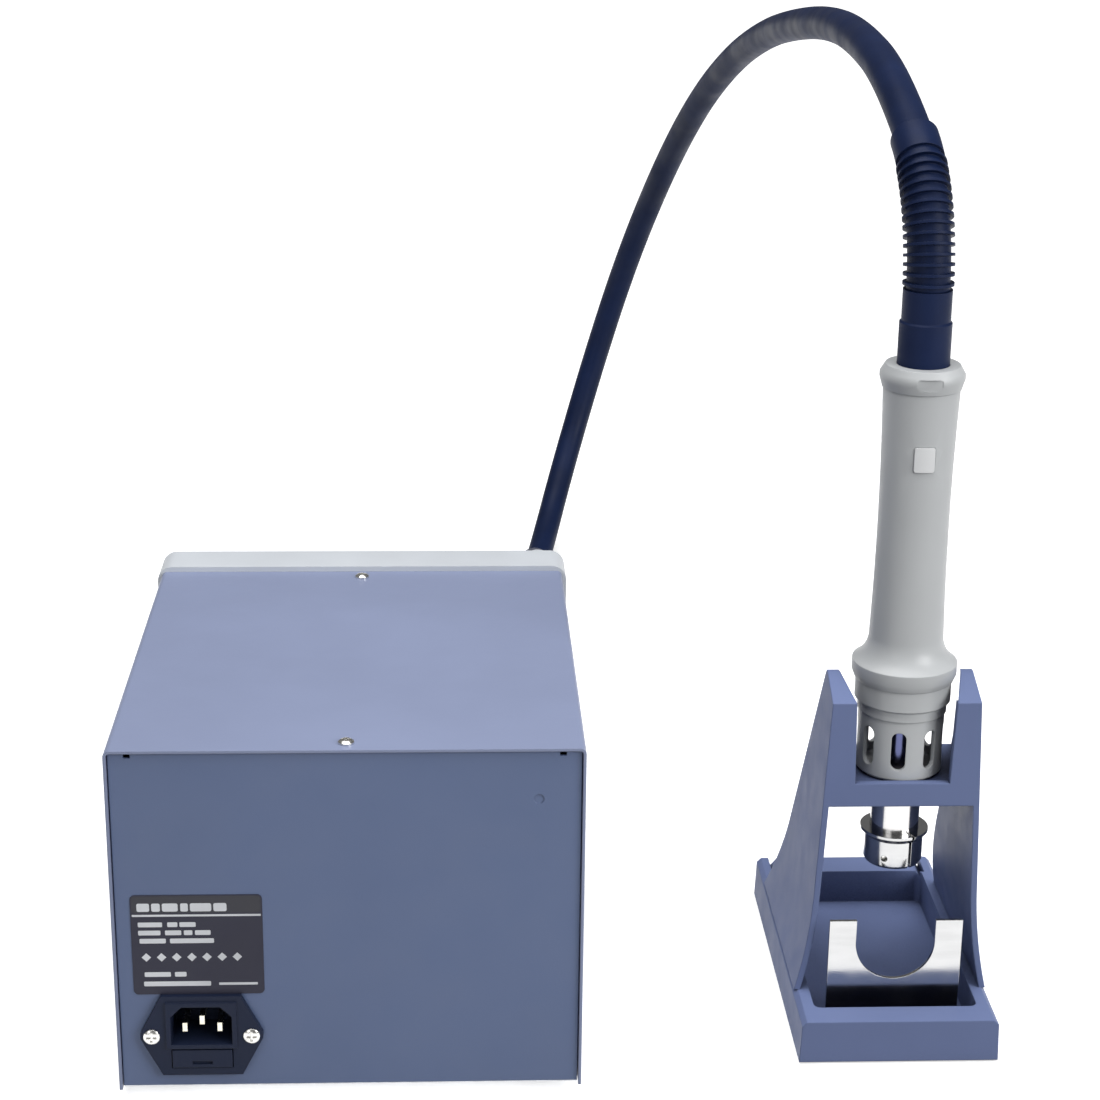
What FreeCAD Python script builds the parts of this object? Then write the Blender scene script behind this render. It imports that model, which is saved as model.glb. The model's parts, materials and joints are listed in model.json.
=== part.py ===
import FreeCAD, Part
import math
import os

V = FreeCAD.Vector

# Hot-air soldering and rework station: a mains unit that blows air, a hose, a heated
# handpiece and the bench stand that the handpiece rests in.
# +Z is up and Z = 0 is the bench. The unit's rear faces +Y and its front panel faces -Y.
# X = 0 and Y = 0 are the middle of the unit and stand together.

# ---------------------------------------------------------------- driving dimensions, mm
UNIT_X = 88.0              # middle of the unit
STAND_X = -140.3           # middle of the stand
OUTLET_TIP_Y = -133.0      # tip of the hose outlet, in front of the front panel
PANEL_REAR_Y = 127.5       # outer face of the rear panel

FOOT_HEIGHT = 5.0
SHEET = 1.2                # steel sheet of the unit's case
COVER_WIDTH = 187.0
COVER_HEIGHT = 149.0
COVER_DEPTH = 208.0
COVER_CORNER = 2.5
BEZEL_WIDTH = 191.0
BEZEL_DEPTH = 24.0
BEZEL_RISE = 2.5           # how far the bezel stands above and below the cover
BEZEL_CORNER = 7.0
BEZEL_WALL = 2.0
PANEL_SET_BACK = 3.0       # front panel behind the bezel's front edge
PANEL_THICK = 3.0
REAR_INSET = 1.5           # rear panel behind the cover's rear edge

INLET_PITCH = 40.0         # IEC 60320 C14 flange screws
INLET_WIDTH = 49.0
INLET_HEIGHT = 35.5
INLET_TOP_WIDTH = 32.0
INLET_FLANGE = 2.6
SOCKET_WIDTH = 24.5
SOCKET_HEIGHT = 17.0
PIN_PITCH = 7.0

LABEL_WIDTH = 52.0
LABEL_HEIGHT = 44.0
LABEL_THICK = 0.3

HOSE_DIAMETER = 16.0
OUTLET_RADIUS = 9.0
OUTLET_TILT = 12.0         # degrees below the horizontal

TRAY_WIDTH = 84.0
TRAY_DEPTH = 154.5
TRAY_HEIGHT = 19.5
STAND_WALL = 2.6
SHELF_TOP = 113.7
SHELF_HOLE = 15.5

CAGE_RADIUS = 18.0
GRIP_RADIUS = 14.5
BELL_RADIUS = 21.8
TUBE_RADIUS = 10.3
RELIEF_BEND = 60.0         # radius of the strain relief's bend
RELIEF_TURN = 64.0         # degrees
RELIEF_SIDE = 4.0          # degrees that the bend turns towards +X of straight back

GAP = 0.3                  # between pieces of different bodies
RUNNING = 0.05             # radial clearance of a shaft in its bore

# ---------------------------------------------------------------- places worked out from them
SCREW_PROUD = 1.4
COVER_REAR_Y = PANEL_REAR_Y + REAR_INSET
COVER_FRONT_Y = COVER_REAR_Y - COVER_DEPTH
BEZEL_FRONT_Y = COVER_FRONT_Y - BEZEL_DEPTH
PANEL_FRONT_Y = BEZEL_FRONT_Y + PANEL_SET_BACK
COVER_BOTTOM = FOOT_HEIGHT
COVER_TOP = FOOT_HEIGHT + COVER_HEIGHT
FLOOR_TOP = COVER_BOTTOM + SHEET
HALF_COVER = COVER_WIDTH / 2
INNER_HALF = HALF_COVER - SHEET - 0.4
OUTLET_TIP = V(UNIT_X - 84.0, OUTLET_TIP_Y, 136.7)
HOSE_RADIUS = HOSE_DIAMETER / 2

REAR = V(0, 1, 0)
UP = V(0, 0, 1)
RIGHT = V(1, 0, 0)


# ---------------------------------------------------------------- small helpers
def box(x0, y0, z0, x1, y1, z1):
    return Part.makeBox(x1 - x0, y1 - y0, z1 - z0, V(x0, y0, z0))


def rod(start, direction, radius, length):
    return Part.makeCylinder(radius, length, start, direction)


def ring(start, direction, outer, inner, length):
    return rod(start, direction, outer, length).cut(rod(start, direction, inner, length))


def fused(solids):
    whole = solids[0]
    for solid in solids[1:]:
        whole = whole.fuse(solid)
    return whole.removeSplitter()


def cut_all(solid, tools):
    for tool in tools:
        solid = solid.cut(tool)
    return solid


def prism(points, along):
    """A straight solid whose end face has these corners."""
    return Part.Face(Part.makePolygon(list(points) + [points[0]])).extrude(along)


def rounded_box(x0, y0, z0, x1, y1, z1, radius, axis):
    """A box with its four edges along an axis rounded."""
    solid = box(x0, y0, z0, x1, y1, z1)
    edges = [e for e in solid.Edges if abs(e.tangentAt(e.FirstParameter).dot(axis)) > 0.99]
    return solid.makeFillet(radius, edges)


def turned(outline):
    """A solid of revolution about Z; each outline step is (r, z), or a pair of them for an arc."""
    start = V(outline[0][0], 0, outline[0][1])
    first, edges = start, []
    for step in outline[1:]:
        if isinstance(step[0], tuple):
            middle, end = V(step[0][0], 0, step[0][1]), V(step[1][0], 0, step[1][1])
            edges.append(Part.Arc(start, middle, end).toShape())
        else:
            end = V(step[0], 0, step[1])
            edges.append(Part.LineSegment(start, end).toShape())
        start = end
    edges.append(Part.LineSegment(start, first).toShape())
    return Part.Face(Part.Wire(edges)).revolve(V(0, 0, 0), UP, 360)


def pan_screw(seat, outward, head_radius, head_height, shank_radius, shank_length):
    """A domed cross-head screw whose head stands on its seat."""
    head = turned([(0, 0), (head_radius, 0), (head_radius, head_height * 0.45),
                   ((head_radius * 0.72, head_height * 0.86), (0, head_height))])
    slot = head_radius * 0.62
    recess = fused([box(-slot, -0.45, head_height * 0.45, slot, 0.45, head_height + 1),
                    box(-0.45, -slot, head_height * 0.45, 0.45, slot, head_height + 1)])
    shank = rod(V(0, 0, -shank_length), UP, shank_radius, shank_length)
    screw = fused([head.cut(recess), shank])
    return placed(screw, seat, outward)


def placed(solid, origin, direction):
    """Turns a solid's own +Z to a direction and moves its origin."""
    turn = FreeCAD.Rotation(UP, direction)
    moved = solid.copy()
    moved.Placement = FreeCAD.Placement(origin, turn).multiply(moved.Placement)
    return moved


def route_edges(points):
    """Straight runs joined by tangent arcs, each arc as large as its two runs allow."""
    edges, radii, start = [], [], points[0]
    for before, corner, after in zip(points, points[1:], points[2:]):
        back = (before - corner).normalize()
        ahead = (after - corner).normalize()
        half = (math.pi - back.getAngle(ahead)) / 2
        run = min(before.distanceToPoint(corner), corner.distanceToPoint(after))
        radius = 0.45 * run / math.tan(half)
        radii.append(radius)
        middle = corner + (back + ahead).normalize() * (radius / math.cos(half) - radius)
        entry, leave = corner + back * 0.45 * run, corner + ahead * 0.45 * run
        edges.append(Part.LineSegment(start, entry).toShape())
        edges.append(Part.Arc(entry, middle, leave).toShape())
        start = leave
    edges.append(Part.LineSegment(start, points[-1]).toShape())
    return edges, radii


def swept(edges, radius):
    """A round bar along a path."""
    path = Part.Wire(edges)
    begin = edges[0].valueAt(edges[0].FirstParameter)
    heading = edges[0].tangentAt(edges[0].FirstParameter)
    section = Part.Wire(Part.Circle(begin, heading, radius).toShape())
    return path.makePipeShell([section], True, False)


def write(name, *solids):
    """One STEP file for a node; identical pieces share one node."""
    shape = solids[0] if len(solids) == 1 else Part.makeCompound(list(solids))
    shape.exportStep("parts/" + name + ".step")


# ---------------------------------------------------------------- the unit's case
FOOT_X = HALF_COVER - 18.0
FOOT_FRONT_Y = COVER_FRONT_Y + 20.0
FOOT_REAR_Y = COVER_REAR_Y - 20.0
FOOT_PLACES = [(UNIT_X + side * FOOT_X, y) for side in (-1, 1) for y in (FOOT_FRONT_Y, FOOT_REAR_Y)]
COVER_SCREW_INSET = 7.0
COVER_SCREWS_Y = (COVER_REAR_Y - COVER_SCREW_INSET, COVER_FRONT_Y + COVER_SCREW_INSET + 1.0)
INTAKE_X, INTAKE_Y = UNIT_X - 48.0, -30.0
BOARD_X0, BOARD_X1 = UNIT_X - 86.0, UNIT_X + 18.0
BOARD_Y0, BOARD_Y1 = 40.0, 118.0
BOARD_Z = FLOOR_TOP + 10.0
BOARD_POSTS = [(x, y) for x in (BOARD_X0 + 5, BOARD_X1 - 5) for y in (BOARD_Y0 + 5, BOARD_Y1 - 5)]
TRANSFORMER_X, TRANSFORMER_Y = UNIT_X + 52.0, 8.0
INLET_X = UNIT_X + 59.5
INLET_Z = COVER_BOTTOM + 25.0
LABEL_X = UNIT_X + 60.0
LABEL_Z = COVER_BOTTOM + 64.8


def feet():
    pads = []
    for x, y in FOOT_PLACES:
        pad = turned([(2.0, 1.5), (5.5, 1.5), (5.5, 0), (7.0, 0), (8.0, FOOT_HEIGHT), (2.0, FOOT_HEIGHT)])
        pads.append(placed(pad, V(x, y, 0), UP))
    return pads


def foot_screws():
    return [pan_screw(V(x, y, 1.5), V(0, 0, -1), 3.0, 1.2, 1.5, 7.0) for x, y in FOOT_PLACES]


def chassis_tray():
    front_y, rear_y = COVER_FRONT_Y + 0.4, PANEL_REAR_Y - SHEET
    left, right = UNIT_X - INNER_HALF, UNIT_X + INNER_HALF
    tray = fused([
        box(left, front_y, COVER_BOTTOM, right, rear_y, FLOOR_TOP),
        box(left, front_y, COVER_BOTTOM, left + SHEET, rear_y, FLOOR_TOP + 14),
        box(right - SHEET, front_y, COVER_BOTTOM, right, rear_y, FLOOR_TOP + 14),
        box(left, front_y, COVER_BOTTOM, right, front_y + SHEET, FLOOR_TOP + 14),
    ])
    holes = [rod(V(x, y, 0), UP, 1.6, 12) for x, y in FOOT_PLACES + BOARD_POSTS]
    slots = []
    for row in range(-3, 4):
        half = math.sqrt(34.0 ** 2 - (row * 9.0) ** 2)
        y = INTAKE_Y + row * 9.0
        slots.append(rounded_box(INTAKE_X - half, y - 2, 0, INTAKE_X + half, y + 2, 12, 1.9, UP))
    return cut_all(tray, holes + slots)


def rear_panel():
    y0 = PANEL_REAR_Y - SHEET
    top = COVER_TOP - SHEET - 0.5
    panel = box(UNIT_X - INNER_HALF, y0, FLOOR_TOP, UNIT_X + INNER_HALF, PANEL_REAR_Y, top)
    notches = [box(x - 1.3, y0 - 1, top - 1.8, x + 1.3, PANEL_REAR_Y + 1, top + 1)
               for x in (UNIT_X - HALF_COVER + 9, UNIT_X + HALF_COVER - 9)]
    socket = box(INLET_X - 15, y0 - 1, INLET_Z - 15, INLET_X + 15, PANEL_REAR_Y + 1, INLET_Z + 15)
    holes = [rod(V(INLET_X + s * INLET_PITCH / 2, y0 - 1, INLET_Z), REAR, 1.8, 4) for s in (-1, 1)]
    dimple = rod(V(UNIT_X - 75.2, PANEL_REAR_Y - 0.4, COVER_TOP - 22), REAR, 2.0, 2)
    tab_y = COVER_SCREWS_Y[0]
    tab = box(UNIT_X - 9, tab_y - 6, top - SHEET, UNIT_X + 9, y0 + 0.2, top)
    tab = tab.cut(rod(V(UNIT_X, tab_y, top - 5), UP, 1.5, 9))
    return fused([cut_all(panel, notches + [socket, dimple] + holes), tab])


def top_cover():
    outer = box(UNIT_X - HALF_COVER, COVER_FRONT_Y, COVER_BOTTOM,
                UNIT_X + HALF_COVER, COVER_REAR_Y, COVER_TOP)
    inner = box(UNIT_X - HALF_COVER + SHEET, COVER_FRONT_Y - 1, COVER_BOTTOM - 1,
                UNIT_X + HALF_COVER - SHEET, COVER_REAR_Y + 1, COVER_TOP - SHEET)
    shells = []
    for solid, radius in ((outer, COVER_CORNER), (inner, COVER_CORNER - SHEET)):
        top = solid.BoundBox.ZMax
        edges = [e for e in solid.Edges
                 if abs(e.CenterOfMass.z - top) < 0.01 and abs(e.CenterOfMass.x - UNIT_X) > HALF_COVER - 3]
        shells.append(solid.makeFillet(radius, edges))
    cover = shells[0].cut(shells[1])
    return cut_all(cover, [rod(V(UNIT_X, y, COVER_TOP - 3), UP, 1.8, 6) for y in COVER_SCREWS_Y])


def cover_screws():
    return [pan_screw(V(UNIT_X, y, COVER_TOP), UP, 3.2, 1.7, 1.4, 5.0) for y in COVER_SCREWS_Y]


def front_bracket():
    """Folded strip that joins the cover's front screw to the bezel's rear frame."""
    y, top = COVER_SCREWS_Y[1], COVER_TOP - SHEET - 0.5
    strip = box(UNIT_X - 12, COVER_FRONT_Y + 0.4, top - SHEET, UNIT_X + 12, y + 6, top)
    leg = box(UNIT_X - 12, COVER_FRONT_Y + 0.4, top - 12, UNIT_X + 12, COVER_FRONT_Y + 0.4 + SHEET, top)
    return fused([strip, leg]).cut(rod(V(UNIT_X, y, top - 5), UP, 1.5, 9))


# ---------------------------------------------------------------- the unit's front
BEZEL_HALF = BEZEL_WIDTH / 2
BEZEL_TOP = COVER_TOP + BEZEL_RISE
BEZEL_BOTTOM = COVER_BOTTOM - BEZEL_RISE + 0.5
LEDGE_Y = PANEL_FRONT_Y + PANEL_THICK
PANEL_HALF = BEZEL_HALF - BEZEL_WALL - 0.2
PANEL_TOP = BEZEL_TOP - BEZEL_WALL - 0.2
PANEL_BOTTOM = BEZEL_BOTTOM + BEZEL_WALL + 0.2
DISPLAY_X, DISPLAY_Z = UNIT_X + 20.0, 108.0
DISPLAY_WIDTH, DISPLAY_HEIGHT = 86.0, 38.0
KEY_NAMES = ("key_air_down", "key_air_up", "key_heat_down", "key_heat_up")
KEY_XS = [UNIT_X - 16.0 + 24.0 * i for i in range(4)]
KEY_Z = 68.0
KEY_WIDTH, KEY_HEIGHT, KEY_PROUD, KEY_TRAVEL = 15.0, 9.0, 2.2, 1.0
ROCKER_X, ROCKER_Z = UNIT_X + 62.0, 30.0
ROCKER_WIDTH, ROCKER_HEIGHT, ROCKER_SWING = 13.0, 19.0, 14.0
CONTROL_Y = LEDGE_Y + 7.0
OUTLET_AXIS = V(0, -math.cos(math.radians(OUTLET_TILT)), -math.sin(math.radians(OUTLET_TILT)))
OUTLET_ROOT = OUTLET_TIP - OUTLET_AXIS * ((PANEL_FRONT_Y - OUTLET_TIP.y) / -OUTLET_AXIS.y)
HOSE_ENTRY = 10.0
SPIGOT_RADIUS = 6.5
SPIGOT_END_Y = PANEL_FRONT_Y + 13.0


def front_bezel():
    def ring_block(y0, y1, wall, corner):
        return rounded_box(UNIT_X - BEZEL_HALF + wall, y0, BEZEL_BOTTOM + wall,
                           UNIT_X + BEZEL_HALF - wall, y1, BEZEL_TOP - wall, corner, REAR)
    outer = ring_block(BEZEL_FRONT_Y, COVER_FRONT_Y, 0, BEZEL_CORNER)
    rim = [e for e in outer.Edges if abs(e.BoundBox.YMax - BEZEL_FRONT_Y) < 0.01]
    outer = outer.makeFillet(2.0, rim)
    cavity = ring_block(BEZEL_FRONT_Y - 1, COVER_FRONT_Y - 3, BEZEL_WALL, BEZEL_CORNER - BEZEL_WALL)
    opening = ring_block(COVER_FRONT_Y - 4, COVER_FRONT_Y + 1, BEZEL_WALL + 1.4, BEZEL_CORNER - BEZEL_WALL)
    rails = [box(UNIT_X - 60, LEDGE_Y, z, UNIT_X + 60, COVER_FRONT_Y - 2, z + 4)
             for z in (BEZEL_BOTTOM + BEZEL_WALL - 0.2, BEZEL_TOP - BEZEL_WALL - 3.8)]
    return fused([cut_all(outer, [cavity, opening])] + rails)


def key_opening(x, slack):
    return rounded_box(x - KEY_WIDTH / 2 - slack, PANEL_FRONT_Y - 5, KEY_Z - KEY_HEIGHT / 2 - slack,
                       x + KEY_WIDTH / 2 + slack, LEDGE_Y + 5, KEY_Z + KEY_HEIGHT / 2 + slack, 2.0, REAR)


def front_panel():
    plate = rounded_box(UNIT_X - PANEL_HALF, PANEL_FRONT_Y, PANEL_BOTTOM,
                        UNIT_X + PANEL_HALF, LEDGE_Y, PANEL_TOP, BEZEL_CORNER - BEZEL_WALL, REAR)
    window = box(DISPLAY_X - DISPLAY_WIDTH / 2 + 3, PANEL_FRONT_Y - 1, DISPLAY_Z - DISPLAY_HEIGHT / 2 + 3,
                 DISPLAY_X + DISPLAY_WIDTH / 2 - 3, LEDGE_Y + 1, DISPLAY_Z + DISPLAY_HEIGHT / 2 - 3)
    seat = box(DISPLAY_X - DISPLAY_WIDTH / 2 - 0.1, PANEL_FRONT_Y - 1, DISPLAY_Z - DISPLAY_HEIGHT / 2 - 0.1,
               DISPLAY_X + DISPLAY_WIDTH / 2 + 0.1, PANEL_FRONT_Y + 1.5, DISPLAY_Z + DISPLAY_HEIGHT / 2 + 0.1)
    rocker = box(ROCKER_X - 8.1, PANEL_FRONT_Y - 1, ROCKER_Z - 11.1, ROCKER_X + 8.1, LEDGE_Y + 1,
                 ROCKER_Z + 11.1)
    spigot = rod(V(OUTLET_ROOT.x, PANEL_FRONT_Y - 1, OUTLET_ROOT.z), REAR, SPIGOT_RADIUS + 0.05, 9)
    return cut_all(plate, [window, seat, rocker, spigot] + [key_opening(x, GAP) for x in KEY_XS])


def display_window():
    return box(DISPLAY_X - DISPLAY_WIDTH / 2, PANEL_FRONT_Y - 0.3, DISPLAY_Z - DISPLAY_HEIGHT / 2,
               DISPLAY_X + DISPLAY_WIDTH / 2, PANEL_FRONT_Y + 1.5, DISPLAY_Z + DISPLAY_HEIGHT / 2)


def display_module():
    return box(DISPLAY_X - 38, PANEL_FRONT_Y + 1.7, DISPLAY_Z - 15, DISPLAY_X + 38, CONTROL_Y,
               DISPLAY_Z + 15)


def key(x):
    cap = rounded_box(x - KEY_WIDTH / 2, PANEL_FRONT_Y - KEY_PROUD, KEY_Z - KEY_HEIGHT / 2,
                      x + KEY_WIDTH / 2, LEDGE_Y + 0.5, KEY_Z + KEY_HEIGHT / 2, 2.0, REAR)
    flange = box(x - KEY_WIDTH / 2 - 1.2, LEDGE_Y + GAP, KEY_Z - KEY_HEIGHT / 2 - 1.2,
                 x + KEY_WIDTH / 2 + 1.2, LEDGE_Y + 1.4, KEY_Z + KEY_HEIGHT / 2 + 1.2)
    stem = rod(V(x, LEDGE_Y + 1, KEY_Z), REAR, 1.8, 1.0)
    return fused([cap, flange, stem])


def control_board():
    board = box(DISPLAY_X - 50, CONTROL_Y, KEY_Z - 14, DISPLAY_X + 50, CONTROL_Y + 1.6, DISPLAY_Z + 22)
    return cut_all(board, [rod(V(x, CONTROL_Y - 1, z), REAR, 1.3, 4) for x, z in CONTROL_POSTS])


CONTROL_POSTS = [(DISPLAY_X + s * 46.5, z) for s in (-1, 1) for z in (KEY_Z - 11.0, DISPLAY_Z + 18.5)]


def control_posts():
    return [rod(V(x, LEDGE_Y, z), REAR, 2.6, CONTROL_Y - LEDGE_Y) for x, z in CONTROL_POSTS]


def key_switches():
    top = LEDGE_Y + 2.0 + KEY_TRAVEL + GAP
    return [box(x - 3, top, KEY_Z - 3, x + 3, CONTROL_Y, KEY_Z + 3) for x in KEY_XS]


def rocker_frame():
    outer = box(ROCKER_X - 10, PANEL_FRONT_Y - 1.8, ROCKER_Z - 13, ROCKER_X + 10, PANEL_FRONT_Y,
                ROCKER_Z + 13)
    body = box(ROCKER_X - 8, PANEL_FRONT_Y - 1, ROCKER_Z - 11, ROCKER_X + 8, PANEL_FRONT_Y + 15,
               ROCKER_Z + 11)
    cavity = box(ROCKER_X - ROCKER_WIDTH / 2 - GAP, PANEL_FRONT_Y - 3, ROCKER_Z - ROCKER_HEIGHT / 2 - 0.4,
                 ROCKER_X + ROCKER_WIDTH / 2 + GAP, PANEL_FRONT_Y + 9, ROCKER_Z + ROCKER_HEIGHT / 2 + 0.4)
    pivot = rod(V(ROCKER_X - 7.4, PANEL_FRONT_Y + 3, ROCKER_Z), RIGHT, 1.2 + RUNNING, 14.8)
    tabs = [box(ROCKER_X + s * 4 - 2.4, PANEL_FRONT_Y + 15, ROCKER_Z - 0.4,
                ROCKER_X + s * 4 + 2.4, PANEL_FRONT_Y + 22, ROCKER_Z + 0.4) for s in (-1, 1)]
    return fused([cut_all(fused([outer, body]), [cavity, pivot])] + tabs)


def power_rocker():
    """A shallow V-faced paddle on a cross pin, at rest with its lower half pressed in."""
    y = PANEL_FRONT_Y
    half = ROCKER_HEIGHT / 2 - 0.6
    side = [V(ROCKER_X - ROCKER_WIDTH / 2, y - 2.4, ROCKER_Z + half),
            V(ROCKER_X - ROCKER_WIDTH / 2, y - 1.2, ROCKER_Z),
            V(ROCKER_X - ROCKER_WIDTH / 2, y - 2.4, ROCKER_Z - half),
            V(ROCKER_X - ROCKER_WIDTH / 2, y + 1.6, ROCKER_Z - half),
            V(ROCKER_X - ROCKER_WIDTH / 2, y + 6.0, ROCKER_Z),
            V(ROCKER_X - ROCKER_WIDTH / 2, y + 1.6, ROCKER_Z + half)]
    paddle = prism(side, V(ROCKER_WIDTH, 0, 0))
    pin = rod(V(ROCKER_X - 7.2, y + 3, ROCKER_Z), RIGHT, 1.2, 14.4)
    whole = fused([paddle, pin])
    whole.rotate(V(ROCKER_X, y + 3, ROCKER_Z), RIGHT, -ROCKER_SWING / 2)
    return whole


def hose_outlet():
    """Tilted sleeve that holds the hose, with a threaded spigot through the front panel."""
    length = OUTLET_ROOT.distanceToPoint(OUTLET_TIP)
    sleeve = rod(OUTLET_ROOT - OUTLET_AXIS * 4, OUTLET_AXIS, OUTLET_RADIUS, length + 4)
    behind = box(OUTLET_ROOT.x - 20, PANEL_FRONT_Y, 100, OUTLET_ROOT.x + 20, PANEL_FRONT_Y + 20, 180)
    bore = rod(OUTLET_TIP - OUTLET_AXIS * HOSE_ENTRY, OUTLET_AXIS, HOSE_RADIUS + 0.15, HOSE_ENTRY + 2)
    spigot = rod(V(OUTLET_ROOT.x, PANEL_FRONT_Y - 1.5, OUTLET_ROOT.z), REAR, SPIGOT_RADIUS,
                 SPIGOT_END_Y - PANEL_FRONT_Y + 1.5)
    air_way = rod(V(OUTLET_ROOT.x, PANEL_FRONT_Y - 4, OUTLET_ROOT.z), REAR, 4.8, 20)
    air_turn = rod(OUTLET_TIP - OUTLET_AXIS * (HOSE_ENTRY + 0.5), OUTLET_AXIS * -1, 4.8,
                   length - HOSE_ENTRY - 2)
    return cut_all(fused([sleeve.cut(behind), spigot]), [bore, air_turn, air_way])


def outlet_nut():
    start = V(OUTLET_ROOT.x, LEDGE_Y, OUTLET_ROOT.z)
    corners = []
    for i in range(6):
        angle = math.radians(60 * i + 30)
        corners.append(start + V(9.2 * math.cos(angle), 0, 9.2 * math.sin(angle)))
    return prism(corners, V(0, 4, 0)).cut(rod(start - V(0, 1, 0), REAR, SPIGOT_RADIUS + 0.05, 6))


# ---------------------------------------------------------------- the unit's mains side
def rating_label():
    plate = rounded_box(LABEL_X - LABEL_WIDTH / 2, PANEL_REAR_Y, LABEL_Z - LABEL_HEIGHT / 2,
                        LABEL_X + LABEL_WIDTH / 2, PANEL_REAR_Y + LABEL_THICK, LABEL_Z + LABEL_HEIGHT / 2,
                        2.0, REAR)
    return plate


DRAWER_TOP = INLET_Z - 6.2
DRAWER_BOTTOM = INLET_Z - 14.2
DRAWER_HALF = 12.0
SOCKET_BOTTOM = INLET_Z - 3.6
INLET_DEPTH = 27.0


def inlet_body():
    """Appliance inlet with a hexagonal flange, three-pin socket and fuse drawer slot."""
    y = PANEL_REAR_Y
    top, side, half = INLET_TOP_WIDTH / 2, INLET_WIDTH / 2, INLET_HEIGHT / 2
    outline = [(-top, half), (top, half), (side, 1.2), (side, -1.2), (top, -half), (-top, -half),
               (-side, -1.2), (-side, 1.2)]
    flange = prism([V(INLET_X + dx, y, INLET_Z + dz) for dx, dz in outline], V(0, INLET_FLANGE, 0))
    block = box(INLET_X - 14.5, y - INLET_DEPTH, INLET_Z - 14.8, INLET_X + 14.5, y + 0.1, INLET_Z + 14.8)
    rim = box(INLET_X - 14.2, y + INLET_FLANGE - 0.1, SOCKET_BOTTOM - 1.8,
              INLET_X + 14.2, y + INLET_FLANGE + 0.9, SOCKET_BOTTOM + SOCKET_HEIGHT + 1.8)
    chamfer, w = 4.5, SOCKET_WIDTH / 2
    mouth = [(-w, 0), (w, 0), (w, SOCKET_HEIGHT - chamfer), (w - chamfer, SOCKET_HEIGHT),
             (chamfer - w, SOCKET_HEIGHT), (-w, SOCKET_HEIGHT - chamfer)]
    socket = prism([V(INLET_X + dx, y - 17, SOCKET_BOTTOM + dz) for dx, dz in mouth], V(0, 25, 0))
    drawer = box(INLET_X - DRAWER_HALF - GAP, y - 23, DRAWER_BOTTOM - GAP,
                 INLET_X + DRAWER_HALF + GAP, y + 10, DRAWER_TOP + GAP)
    holes = [rod(V(INLET_X + s * INLET_PITCH / 2, y - 1, INLET_Z), REAR, 1.7, 8) for s in (-1, 1)]
    return cut_all(fused([flange, block, rim]), [socket, drawer] + holes)


def inlet_pins():
    pins = []
    for offset, height in ((-PIN_PITCH, 5.6), (0.0, 8.8), (PIN_PITCH, 5.6)):
        x, z = INLET_X + offset, SOCKET_BOTTOM + height
        pins.append(box(x - 1, PANEL_REAR_Y - 17, z - 2, x + 1, PANEL_REAR_Y - 1, z + 2))
        pins.append(box(x - 0.4, PANEL_REAR_Y - INLET_DEPTH - 8, z - 2.4,
                        x + 0.4, PANEL_REAR_Y - INLET_DEPTH, z + 2.4))
    return pins


def fuse_drawer():
    """Tray that carries the fuse in use and a spare, with a finger groove in its face."""
    y = PANEL_REAR_Y
    face = box(INLET_X - DRAWER_HALF, y - 22, DRAWER_BOTTOM,
               INLET_X + DRAWER_HALF, y + INLET_FLANGE + 0.4, DRAWER_TOP)
    beds = [box(INLET_X - 11, y - 21, z - 2.8, INLET_X + 11, y - 15, z + 2.8) for z in (INLET_Z - 10.2,)]
    spare = box(INLET_X - 11, y - 12, INLET_Z - 13.0, INLET_X + 11, y - 6, DRAWER_TOP + 1)
    groove = box(INLET_X - 4, y + INLET_FLANGE - 0.6, DRAWER_BOTTOM + 1.4,
                 INLET_X + 4, y + INLET_FLANGE + 1, DRAWER_BOTTOM + 3.0)
    open_bed = box(INLET_X - 11, y - 21, INLET_Z - 13.0, INLET_X + 11, y - 15, DRAWER_TOP + 1)
    return cut_all(face, beds + [spare, groove, open_bed])


def fuses():
    glass = []
    for y in (PANEL_REAR_Y - 18, PANEL_REAR_Y - 9):
        glass.append(rod(V(INLET_X - 10, y, INLET_Z - 10.2), RIGHT, 2.5, 20))
    return glass


def inlet_screws():
    seats = [V(INLET_X + s * INLET_PITCH / 2, PANEL_REAR_Y + INLET_FLANGE, INLET_Z) for s in (-1, 1)]
    return [pan_screw(seat, REAR, 3.3, SCREW_PROUD, 1.5, 9.0) for seat in seats]


# ---------------------------------------------------------------- inside the unit
def transformer_core():
    x0, y0 = TRANSFORMER_X - 28, TRANSFORMER_Y - 20
    core = box(x0, y0, FLOOR_TOP, x0 + 56, y0 + 40, FLOOR_TOP + 48)
    windows = [box(TRANSFORMER_X + s * 14 - 5, y0 - 1, FLOOR_TOP + 8,
                   TRANSFORMER_X + s * 14 + 5, y0 + 41, FLOOR_TOP + 40) for s in (-1, 1)]
    return cut_all(core, windows)


def transformer_coil():
    x, y0, y1 = TRANSFORMER_X, TRANSFORMER_Y - 28, TRANSFORMER_Y + 28
    coil = rounded_box(x - 18.6, y0, FLOOR_TOP + 8.6, x + 18.6, y1, FLOOR_TOP + 39.4, 3.0, UP)
    limb = box(x - 9.2, y0 - 1 + 8.8, FLOOR_TOP, x + 9.2, y1 + 1 - 8.8, FLOOR_TOP + 48)
    return coil.cut(limb)


def main_board():
    board = box(BOARD_X0, BOARD_Y0, BOARD_Z, BOARD_X1, BOARD_Y1, BOARD_Z + 1.6)
    return cut_all(board, [rod(V(x, y, BOARD_Z - 1), UP, 1.6, 4) for x, y in BOARD_POSTS])


def board_posts():
    return [ring(V(x, y, FLOOR_TOP), UP, 3.0, 1.6, BOARD_Z - FLOOR_TOP) for x, y in BOARD_POSTS]


def board_screws():
    return [pan_screw(V(x, y, BOARD_Z + 1.6), UP, 2.8, 1.6, 1.4, 8.0) for x, y in BOARD_POSTS]


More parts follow.
